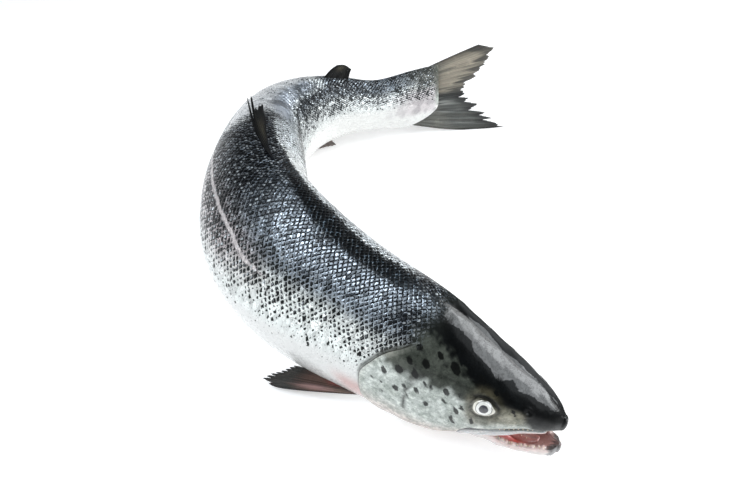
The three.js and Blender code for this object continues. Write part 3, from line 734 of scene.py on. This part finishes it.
JAW_TIP, JAW_ROOT = -.0025, .17
JAW_WALL, JAW_DEPTH, JAW_CROWN = 4.0, 9.0, 1.5
JAW_ROWS, OUTSIDE, INSIDE = 90, 61, 47    # rings, and points around them outside and in the trough
TONGUE = (.12, .5)
jaw_rim = profile({0: .037, .06: .0355, .24: .034, .34: .0405, .45: .057, .6: .066, 1: .066})
jaw_bottom = profile({0: .0195, .025: .012, .13: .0075, .35: .0075, .48: .0055, .6: .0035, .77: .001, 1: 0})
jaw_half = profile({0: .004, .025: .0095, .12: .0165, .22: .0225, .37: .031, .48: .0365, .6: .041, .77: .0455,
                    1: .049})


def jaw_at(t):
    rim, half = jaw_rim(t) * FORK, jaw_half(t) * FORK
    drop = rim - jaw_bottom(t) * FORK
    depth = lerp(-JAW_CROWN, minimum(JAW_DEPTH, drop - JAW_WALL), smooth(t, .02, .2))
    return lerp(JAW_TIP, JAW_ROOT, t), rim, drop, half, depth


def make_jaw():
    t = linspace(0, 1, JAW_ROWS)[:, None] ** 1.3
    s, rim, drop, half, depth = jaw_at(t)
    outer = radians(linspace(90, 270, OUTSIDE))[None]
    inner = radians(linspace(270, 90, INSIDE + 2)[1:-1])[None]
    trough = half - minimum(JAW_WALL, half / 2)
    n = concatenate([half * sin(outer), trough * sin(inner)], 1)
    z = concatenate([rim + drop * cos(outer), rim + depth * cos(inner)], 1)
    a = np.broadcast_to(concatenate([outer, inner], 1), n.shape)
    inside = np.broadcast_to(arange(OUTSIDE + INSIDE) >= OUTSIDE, n.shape)
    low = clip(-cos(a), 0, 1)
    # the gums, with a row of knobs
    knob = cos(t * 170 + 1.5 * sin(t * 61))
    z = z + bump(low, 0, .22) * span(t, .03, .08, .5, .6) * (.5 + .6 * knob)
    n = n + .25 * waves(s * FORK * .35 + 0 * n, a * 5, 5, 20)
    rings, tip = rounded(place(s, n, z), 2.5)
    gum = layered((.50, .36, .34), ((.96, .90, .88), .5 + .5 * knob))
    lining = layered((.66, .52, .50), ((.70, .20, .15), smooth(t, .15, .27) * .9),
                     ((.26, .04, .04), smooth(t, .36, .55) * .95),
                     (gum, bump(low, .0, .4) * smooth(t, .5, .36) * .85))
    dark_tip = smooth(t + .02 * low + .012 * cos(a * 7), .07, .04) * (1 - inside * .2)
    tone = layered((.86, .84, .83), ((.88, .74, .71), bump(low, .05, .3) * .6),
                   ((.62, .60, .58), bump(low, .55, .16) * smooth(t, .06, .12) * .35), (lining, inside),
                   ((.07, .06, .06), dark_tip * .95))
    shape = tube(rings, tip, place(s[-1, 0], 0, rim[-1, 0] - drop[-1, 0] / 2), OFBake=unit_chart(rings))
    mesh_piece("lower_jaw", shape, flesh_material("jaw_skin", .30, .8, .35), "mouth",
               tone=capped(tone, END_ROWS, (tone[0, 0], tone[-1, -1])))


def flesh_material(name, rough, grain, spots=0.0):
    """Wet flesh or thin skin, coloured by the piece."""
    g = Graph(name, Coat_Weight=.6, Coat_Roughness=.08, Subsurface_Weight=.12,
              Subsurface_Radius=(.004, .0015, .001), Subsurface_Scale=1.0)
    cloud, fine = g.noise(160, 4, .6), g.noise(700, 3, .6)
    colour = g.dye(g.step(cloud, .35, .7) * .4, g.colour("tone"), .72, .66, .64)
    colour = g.mix(g.step(fine, .55, .8) * .25, colour, (.9, .86, .84))
    if spots:
        colour = g.mix(g.step(g.noise(260), .62, .7) * spots, colour, (.03, .03, .03))
    return g.finish(Base_Color=colour, Roughness=g.range(fine, 0, 1, rough - .06, rough + .1),
                    Normal=g.relief(cloud * .6 + fine * .3, grain))


def make_tongue():
    t = linspace(.02, .98, 40)[:, None]
    a = linspace(0, 2 * pi, 48, endpoint=False)[None]
    s, rim, _, _, depth = jaw_at(lerp(*TONGUE, t))
    full = sqrt(sin(pi * sqrt(t)))
    on_top = sin(a) > 0
    n = lerp(5, 11, t) * full * cos(a)
    z = rim - depth + 4 * full * sin(a) * (1 - .22 * bump(cos(a), 0, .18) * on_top)
    tone = layered((.70, .50, .48), ((.62, .22, .18), smooth(t, .15, .6)),
                   ((.55, .50, .50), bump(cos(a), 0, .25) * on_top * .5))
    ends = []
    for end in TONGUE:
        s1, rim1, _, _, depth1 = jaw_at(end)
        ends.append(place(s1, 0, rim1 - depth1))
    rings = place(s, n, z)
    shape = tube(rings, *ends, OFBake=unit_chart(rings))
    mesh_piece("tongue", shape, flesh_material("tongue_flesh", .32, .5), "mouth",
               tone=capped(tone, 0, (tone[0, 0], tone[-1, -1])))


def cones(sites):
    """Small curved teeth, one mesh: each site is base, way up, way it leans, length and radius."""
    sides, levels = 8, 5
    h = arange(levels)[:, None, None] / levels
    w = 2 * pi * arange(sides)[:, None] / sides
    points, quads, tris = [], [], []
    for base, up, lean, length, radius in sites:
        up, lean = up / np.linalg.norm(up), lean / np.linalg.norm(lean)
        around = cos(w) * lean + sin(w) * np.cross(up, lean)
        rings = base + up * length * h + lean * length * .35 * h * h + radius * (1 - h) ** .7 * around
        p, q, t, _ = tube(rings, base - up * .3, base + up * length + lean * length * .35)
        start = len(points) * len(p)
        points, quads, tris = points + [p], quads + [q + start], tris + [t + start]
    return concatenate(points), concatenate(quads), concatenate(tris), {}


def make_teeth():
    r = np.random.default_rng(12)
    sites = []
    up = array([0, 0, 1.0])
    for side in (RIGHT, LEFT):
        for t in linspace(.075, .44, 15):
            s, rim, _, half, _ = jaw_at(t + r.uniform(-.006, .006))
            root = place(s, side * (half - 1.5), rim + .2)
            inward, rearward = place(s, 0, rim) - root, place(s + .01, 0, 0) - place(s, 0, 0)
            sites.append((root, up, inward * .5 + rearward * 3, r.uniform(1.5, 2.4), r.uniform(.55, .8)))
        for s in linspace(.012, .07, 14):
            root = skin(s, side * radians(118), .2)
            sites.append((root, -up, skin(s, pi, 0) - root, r.uniform(1.3, 2.1), r.uniform(.5, .75)))
    for k in range(6):
        s, rim, _, _, depth = jaw_at(.2 + .035 * k)
        rearward = place(s + .02, 0, 0) - place(s, 0, 0)
        for side in (RIGHT, LEFT):
            sites.append((place(s, side * 2.6, rim - depth + 3.4), up, rearward, 1.5, .5))
    g = Graph("tooth_enamel", Coat_Weight=.5, Coat_Roughness=.1, Roughness=.25)
    cloud = g.noise(900)
    colour = g.mix(cloud, tint(.93, .90, .82), tint(.84, .78, .66))
    mesh_piece("teeth", cones(sites), g.finish(Base_Color=colour, Normal=g.relief(cloud, .05)), "tooth")


maxilla_blade = profile({0: 4, .2: 4, .75: 11, .9: 10, 1: 3})
lip_line = profile({0: .07, .011: .0755, .034: .073, .05: .065, .075: .0545, .1: .047})


def sheet_piece(name, grid, half, material, slot, **fields):
    """A closed slab around a grid of points, which fields gives numbers and colours."""
    R, C = grid.shape[:2]
    along, across = np.gradient(grid, axis=0), np.gradient(grid, axis=1)
    normal = np.cross(along, across)
    normal /= np.linalg.norm(normal, axis=-1, keepdims=True) + 1e-12
    points = concatenate([(grid + way * normal * half[..., None]).reshape(-1, 3) for way in (1, -1)])
    points[:, 2] = maximum(points[:, 2], 0)
    u, v = .02 + .96 * arange(R) / (R - 1), .02 + .46 * arange(C) / (C - 1)
    quads, uv = [], []

    def add(corners, places, turned):
        """Quads from four arrays of points, with a place on the chart for each corner."""
        q = stack(corners, -1)
        t = stack([stack(np.broadcast_arrays(*pair), -1) for pair in places], 1)
        quads.append(q[:, ::-1] if turned else q)
        uv.append(t[:, ::-1] if turned else t)
    r, c = np.indices((R - 1, C - 1)).reshape(2, -1)
    for face, across in enumerate((v, 1 - v)):
        at = face * R * C + r * C + c
        add((at, at + 1, at + C + 1, at + C),
            [(u[r + i], across[c + j]) for i, j in ((0, 0), (0, 1), (1, 1), (1, 0))], face)
    r, c = arange(R - 1), arange(C - 1)
    for row, edge in ((0, .005), (R - 1, .985)):
        at = row * C + c
        add((at, at + 1, at + 1 + R * C, at + R * C),
            [(edge + i, v[c + j]) for i, j in ((0, 0), (0, 1), (.01, 1), (.01, 0))], row == 0)
    for column, edge in ((0, .005), (C - 1, .49)):
        at = r * C + column
        add((at, at + C, at + C + R * C, at + R * C),
            [(u[r + i], edge + j) for i, j in ((0, 0), (1, 0), (1, .01), (0, .01))], column > 0)
    doubled = {key: concatenate([x.reshape(-1, *x.shape[2:])] * 2) for key, x in fields.items()}
    shape = points, concatenate(quads), np.zeros((0, 3), int), {"OFBake": [concatenate(uv)]}
    mesh_piece(name, shape, material, slot, **doubled)


def make_maxilla(side):
    t, c = np.meshgrid(linspace(0, 1, 70), linspace(0, 1, 22), indexing="ij")
    s = lerp(.012, .1, t)
    low, _, middle, _ = heights(s)
    z = lip_line(s) * FORK - 2.5 + c * (maxilla_blade(t) + 1)
    power = squareness(s)
    drop = clip((middle - z) / (middle - low), 0, .7)
    n = half_width(s) * FORK * (1 - drop ** power) ** (1 / power)
    ridge = .5 * bump(c, .35, .2) * smooth(t, .2, .5) - .35 * bump(c, .72, .08) * smooth(t, .4, .6)
    grid = place(s, side * (n + .6 + ridge), z)
    half = 1.35 * (sqrt(clip(minimum(c, 1 - c) / .16, .02, 1))
                   * sqrt(clip(minimum(t, 1 - t) / .05, .02, 1)))
    rim = clip(bump(c, 1, .12) * smooth(t, .55, .8) + bump(c, 0, .06) + bump(t, 1, .035), 0, 1)
    tone = layered((.80, .80, .80), ((.52, .54, .54), smooth(c, .62, .95) * smooth(t, .8, .5)),
                   ((.86, .72, .70), smooth(t, .5, .1) * smooth(c, .7, .2) * .7),
                   ((.10, .10, .09), rim * smooth(t, .25, .45) * .9),
                   ((.40, .40, .38), bump(c, .72, .06) * smooth(t, .4, .6) * .6))
    sheet_piece("maxilla_" + NAME[side], grid, half, flesh_material("lip_" + NAME[side], .26, .25), "mouth",
                tone=tone)


def make_eye(side):
    share, turn = np.meshgrid(linspace(.03, 1, 44), linspace(0, 2 * pi, 96, endpoint=False),
                              indexing="ij")
    reach = share * (socket_radius(turn) - .2)
    x, y = reach * cos(turn), reach * sin(turn)

    def patch(x, y, out):
        angle = radians(EYE_AT[1]) + y / girth(EYE_AT[0])
        return skin(EYE_AT[0] + x / FORK, side * angle, out)
    rings = patch(x, y, -2.35 + (EYE_BULGE + 2.35) * sqrt(1 - share ** 2))
    shape = tube(rings, patch(0, 0, EYE_BULGE), patch(0, 0, -4.5))
    g = Graph("eye_" + NAME[side], Coat_Weight=1.0, Coat_Roughness=.02, Coat_IOR=1.6, Roughness=.3)
    far = g.number("away") + (g.noise(700, 3) - .5) * .6
    cloud = g.noise(420, 3, .6)
    cream = g.mix(cloud, tint(.97, .96, .92), tint(.86, .85, .78))
    colour = g.mix(g.step(cloud, .3, .75), tint(.05, .05, .08), tint(.24, .24, .29))
    for low, high, ring in ((3.3, 3.7, tint(.95, .95, .93)), (5.6, 5.9, tint(.50, .50, .47)),
                            (6.2, 6.6, cream)):
        colour = g.mix(g.step(far, low, high), colour, ring)
    colour = g.mix(g.step(g.number("rim"), .88, .93), colour, tint(.20, .18, .14))
    away = hypot(x + .7, (y + .9) * 1.2)
    mesh_piece("eye_" + NAME[side], shape, g.finish(Base_Color=colour, Normal=g.relief(cloud, .06)), "eye",
               away=capped(away, 0, (1.2, 12)), rim=capped(share, 0, (0, 1)))


# Fins, as in the CAD part, with rays and a frayed edge

FIN_ROWS = 48    # rings of points from a fin's root to its edge
FINE = 10        # points from a ray to the gap beside it
MODULUS = 2147483647


def worn(rays, notch, ragged, seed):
    """An edge with uneven tips of rays, and notches between them."""
    state, knots = seed, []
    for c in range(2 * rays - 1):
        if c % 2 == 0:
            state = state * 16807 % MODULUS
        knots.append(1 - notch if c % 2 else 1 - ragged * (state / MODULUS))
    return lambda t: interp(t * (2 * rays - 2), arange(2 * rays - 1), knots)


def fin(name, rays, ray, thickness, edge, seed, paint, fray, streak, gloss=1.0, split=0.0):
    """A pleated sheet. ray(t) gives root, tip and bow, and edge(t) how much of the way to the tip is left;
    split deepens the gaps between rays."""
    q = linspace(0, 2 * rays - 2, (2 * rays - 2) * FINE + 1)
    t = q / q[-1]
    on_ray = .5 + .5 * cos(pi * q)
    wild = np.random.default_rng(seed + 100)
    shreds = interp(q, linspace(0, q[-1], rays * 7), wild.uniform(0, 1, rays * 7) ** 2)
    reach = edge(t) - split * (1 - on_ray) ** .7 - fray * shreds * smooth(t, .02, .1)
    root, tip, bow = [stack(np.broadcast_arrays(*part, t)[:3], -1) for part in ray(t)]
    share = linspace(0, 1, FIN_ROWS)[:, None] ** .85
    along = share * reach[None]
    at = root + (tip - root) * along[..., None] + bow * sin(pi * along)[..., None]
    grid = place(at[..., 0], at[..., 1], at[..., 2])
    fans = .5 + .5 * cos(pi * q[None] * np.where(share > .45, 2, 1))
    pleat = lerp(.62, 1, lerp(on_ray[None], fans, smooth(share, .35, .6)))
    half = thickness * lerp(1, .3, share) * pleat / 2
    half = half * sqrt(clip((1 - share) / .04, .05, 1))
    half = half * sqrt(clip(minimum(t, 1 - t) * 2 * rays, .15, 1))[None]
    T, S, on, ray_at = (np.broadcast_to(x, half.shape) for x in (t, share, on_ray, q / 2))
    material = fin_material(name.replace("_fin", "") + "_skin", streak, gloss)
    sheet_piece(name, grid, half, material, "fin", along=along, ray=ray_at, tone=paint(S, T, on))


def fin_material(name, streak, gloss):
    g = Graph(name, Coat_Weight=.12 * gloss, Coat_Roughness=.15, Specular_IOR_Level=.3 * gloss,
              Subsurface_Weight=.04, Subsurface_Radius=(.002, .001, .001), Subsurface_Scale=1.0)
    along = g.number("along")
    ray = g.number("ray") + (g.noise(60) - .5) * .12
    branch = g.math("COSINE", ray * (2 * pi * 4)) * .5 + .5
    main = g.math("COSINE", ray * (2 * pi)) * .5 + .5
    bars = g.math("COSINE", along * 210 + main * 3) * .5 + .5
    cloud, fine = g.noise(90, 4, .6), g.noise(500, 3, .6)
    tone = g.colour("tone")
    lines = branch * g.step(along, .2, .6) * .6 + main * .5
    colour = g.dye((1 - lines) * streak, tone, .38, .38, .38)
    colour = g.mix(g.step(cloud, .5, .75) * .35, colour, g.dye(1.0, tone, 1.7, 1.65, 1.6))
    colour = g.mix(g.step(fine, .6, .8) * .3, colour, g.dye(1.0, tone, .45, .45, .45))
    normal = g.relief(branch * .5 + main * .6 + bars * .15 * branch + fine * .3, .5)
    return g.finish(Base_Color=colour, Roughness=g.range(fine, 0, 1, .4, .62), Normal=normal)


def on_sheet(s, up):
    centre = heights(s)[3]
    return s, up * sin(roll(s)), maximum(centre + up * cos(roll(s)), 2)


def inside(s, degrees, side, depth):
    n, z = section(s, side * radians(degrees))
    return s, n - side * depth, z + depth


def make_tail():
    reach = profile({-1: 1.06, -.6: 1.028, -.3: 1.008, 0: .992, .4: 1.014, .7: 1.03, .88: 1.04, 1: 1.018})
    height = profile({-1: -56, -.6: -35, -.3: -14, 0: -2, .4: 14, .7: 34, .88: 51, 1: 61})

    def ray(t):
        u = 2 * t - 1
        root, tip = on_sheet(lerp(.9, .88, t), lerp(-33, 24, t)), on_sheet(reach(u), height(u))
        return root, tip, (0, 2, -8 * smooth(-u, .4, 1))

    def edge(t):
        """How far the rays reach: torn into long tips below, more evenly worn above."""
        at = (0, .07, .12, .15, .175, .19, .225, .25, .272, .31, .335, .375, .435, .46, .515, .56, .6, .67,
              .705, .735, .755, .79, .855, .872, .9, .935, .958, 1)
        far = (1.02, 1.03, 1.06, 1.0, .95, 1.08, .96, 1.04, .86, .97, 1.035, .88, 1.015, .9, .995, .92, .885,
               .86, .81, .9, .92, .875, .955, .92, .97, .91, 1.0, .95)
        return interp(t, at, far)

    def paint(share, t, on):
        upper = smooth(t, .5, .62)
        grain = waves(t * 85, share * 4, 21, 34)
        return layered((.30, .31, .30), ((.60, .57, .51), upper),
                       ((.62, .63, .61), smooth(grain, .2, 1.1) * bump(share, .55, .3) * (1 - upper) * .8),
                       ((.27, .27, .25), smooth(-grain, .1, 1.2) * .55),
                       ((.08, .085, .08), bump(t, .53, .06) * smooth(share, .25, .6) * .9),
                       ((.86, .86, .83), bump(t, .47, .012) * bump(share, .45, .05)),
                       ((.09, .09, .09), smooth(share, .74, .98) * (1 - upper) * .85),
                       ((.22, .22, .21), smooth(share + .1 * grain, .84, .96) * upper * .85),
                       ((.12, .12, .11), clip(bump(t, 1, .025) + bump(t, 0, .05), 0, 1) * .85),
                       ((.42, .42, .39), smooth(share, .58, .40) * .6))
    fin("tail_fin", 17, ray, 3.6, edge, 17, paint, .035, .55, split=.025)


def make_dorsal():
    def ray(t):
        s = lerp(.425, .54, t)
        n, z = section(s, 0 * s)
        length, rise = lerp(78, 28, t), radians(lerp(20, 30, t))
        tip = (s + length * cos(rise) / FORK, n + lerp(17, 3, t), z + length * sin(rise))
        return (s, n, z - 4), tip, (0, 2, 0)

    def edge(t):
        """Two long spikes in front, then short worn tips."""
        at = (0, .04, .1, .15, .19, .24, .31, .36, .5, .62, .8, .9, 1)
        far = (1.0, .97, .66, .7, 1.0, .96, .72, .78, .68, .74, .66, .7, .64)
        return interp(t, at, far)

    def paint(share, t, on):
        # black, olive in the middle with grey on its rays there as a painted highlight, black front ray and
        # tips, bluish dark at the root
        return layered((.05, .055, .06), ((.19, .18, .14), bump(t, .45, .2) * bump(share, .5, .2) * .9),
                       ((.36, .36, .34), bump(on, 1, .3) * bump(share, .5, .22) * bump(t, .4, .2) * .3),
                       ((.03, .035, .04), clip(bump(t, 0, .07) + smooth(share, .7, .85), 0, 1) * .9),
                       ((.06, .075, .10), smooth(share, .32, .12) * .9))
    fin("dorsal_fin", 9, ray, 2.9, edge, 5, paint, .02, .5, .1)


def make_adipose():
    height = profile({0: 11, .5: 13.5, 1: 11.5})

    def ray(t):
        s = lerp(.76, .8, t)
        n, z = section(s, 0 * s)
        return (s, n, z - 3), (lerp(.784, .806, t), n, z + height(t)), (0, 0, 2)

    def paint(share, t, on):
        rim = clip(bump(t, 1, .2) + bump(t, 0, .1) + smooth(share, .93, 1), 0, 1)
        return layered((.15, .15, .15), ((.30, .29, .25), bump(t, .4, .2) * bump(share, .75, .2)),
                       ((.05, .055, .06), rim * .8))
    fin("adipose_fin", 4, ray, 4.6, worn(4, 0, 0, 3), 3, paint, 0, .25, .2)


def make_pectoral(side):
    length = profile({0: 96, .15: 98, .3: 92, .6: 76, 1: 58})
    sweep = profile({0: 25, .3: 19, .6: 13, 1: 2})

    def ray(t):
        turn = radians(sweep(t))
        s, n, z = inside(lerp(.2, .232, t), lerp(138, 122, t), side, 5)
        tip = (s + length(t) * cos(turn) / FORK, n + side * length(t) * sin(turn), lerp(4, 8, t))
        return (s, n, z), tip, (0, 0, 0)

    def edge(t):
        """Rounded in front, with small notches."""
        notch = 1 - abs(sin(pi * 9 * t)) ** .4
        return (.93 + .07 * sqrt(clip(t / .16, 0, 1))) * (1 - .085 * notch)

    def paint(share, t, on):
        rim = clip(bump(t, 0, .05) + smooth(share, .93, 1) * on, 0, 1)
        streaks = smooth(waves(t * 60, share * 2, 9), 0, 1.2)
        return layered((.44, .34, .30), ((.17, .12, .11), streaks * .6),
                       ((.60, .20, .17), smooth(share, .5, .2) * smooth(t, .3, .55) * .9),
                       ((.78, .62, .60), bump(t, .17, .1) * bump(share, .52, .17) * .8),
                       ((.62, .55, .47), bump(t, .15, .12) * bump(share, .3, .09) * on * .7),
                       ((.20, .21, .20), smooth(share, .6, .85) * .9), ((.07, .07, .07), rim * .9),
                       ((.20, .13, .11), smooth(share, .12, .02) * .6))
    fin("pectoral_" + NAME[side], 11, ray, 3.1, edge, 11, paint, .02, .6)


def make_pelvic(side):
    def ray(t):
        root = inside(lerp(.505, .525, t), lerp(146, 160, t), side, 4)
        return root, (lerp(.585, .56, t), side * lerp(40, 14, t), 2), (0, 0, 0)

    def paint(share, t, on):
        return layered((.62, .58, .55), ((.30, .29, .28), smooth(share, .5, .95)),
                       ((.75, .55, .52), smooth(share, .4, .1) * .7))
    fin("pelvic_" + NAME[side], 7, ray, 2.8, worn(7, .06, .05, 7), 7, paint, .02, .5)


def make_anal():
    def ray(t):
        s = lerp(.69, .755, t)
        return (s, 3, belly(s) * FORK + 7), (s + lerp(.038, .02, t), lerp(1, -5, t), 2), (0, 0, 0)

    def paint(share, t, on):
        return layered((.52, .47, .44), ((.38, .34, .32), smooth(share, .35, .8)),
                       ((.28, .25, .23), bump(t, 0, .1) * .6))
    fin("anal_fin", 8, ray, 2.8, worn(8, .08, .08, 13), 13, paint, .03, .45)


# Stage

TABLE_HALF = 6.0


def make_stage():
    g = Graph("pale_table", Roughness=.7, Emission_Color=(1, .995, .99), Emission_Strength=.36)
    floor_colour = g.mix(g.noise(3) * .3, tint(.96, .96, .96), tint(.95, .95, .955))
    w = TABLE_HALF
    floor = bpy.data.meshes.new("table")
    floor.from_pydata([(-w, -w, 0), (w, -w, 0), (w, w, 0), (-w, w, 0)], [], [(0, 1, 2, 3)])
    floor.materials.append(g.finish(Base_Color=floor_colour))
    table = put("table", floor)
    table.location.z = -.0004
    world = bpy.data.worlds.new("studio")
    bpy.context.scene.world = world
    world.use_nodes = True
    background = world.node_tree.nodes["Background"]
    background.inputs[0].default_value = (.95, .98, 1, 1)
    background.inputs[1].default_value = .2


def softbox(name, azimuth, elevation, distance, size, radiance, colour, aim=(.1, -.17, .06), diffuse=True):
    """A rectangular light seen from the fish at azimuth and elevation, in degrees."""
    a, e = radians(azimuth), radians(elevation)
    light = bpy.data.lights.new(name, "AREA")
    light.shape = "RECTANGLE"
    light.size, light.size_y = size
    light.energy = radiance * pi * light.size * light.size_y
    light.color = colour
    lamp = put(name, light)
    off = Vector((cos(e) * cos(a), cos(e) * sin(a), sin(e))) * distance
    lamp.location = Vector(aim) + off
    lamp.rotation_euler = (-off).to_track_quat("-Z", "Y").to_euler()
    lamp.visible_diffuse = diffuse


def make_camera():
    elevation, distance = radians(46.645), .831425
    width, pixels = 750, 782.384    # of the picture, and the lens's length in its pixels
    target = Vector((.0072, .0110, 0))
    camera = bpy.data.cameras.new("camera")
    camera.sensor_width = 36
    camera.lens = camera.sensor_width * pixels / width
    camera.clip_start = .01
    lens = put("camera", camera)
    lens.location = target + Vector((0, -distance * cos(elevation), distance * sin(elevation)))
    lens.rotation_euler = (target - lens.location).to_track_quat("-Z", "Y").to_euler()
    bpy.context.scene.camera = lens


make_skin()
make_jaw()
make_tongue()
make_teeth()
for side in (RIGHT, LEFT):
    for make in (make_maxilla, make_eye, make_pectoral, make_pelvic):
        make(side)
make_tail()
make_dorsal()
make_adipose()
make_anal()
make_stage()
make_camera()
softbox("right_box", 12, 32, 1.3, (1.35, .95), 4.8, (.97, .99, 1))
softbox("front_box", -20, 40, 1.3, (1.9, 1.15), 5.2, (.92, .97, 1), diffuse=False)
softbox("left_box", -152, 50, 1.3, (.62, 1.2), 6, (.90, .95, 1), (.02, -.02, .08))

bpy.context.scene.view_settings.view_transform = "Standard"
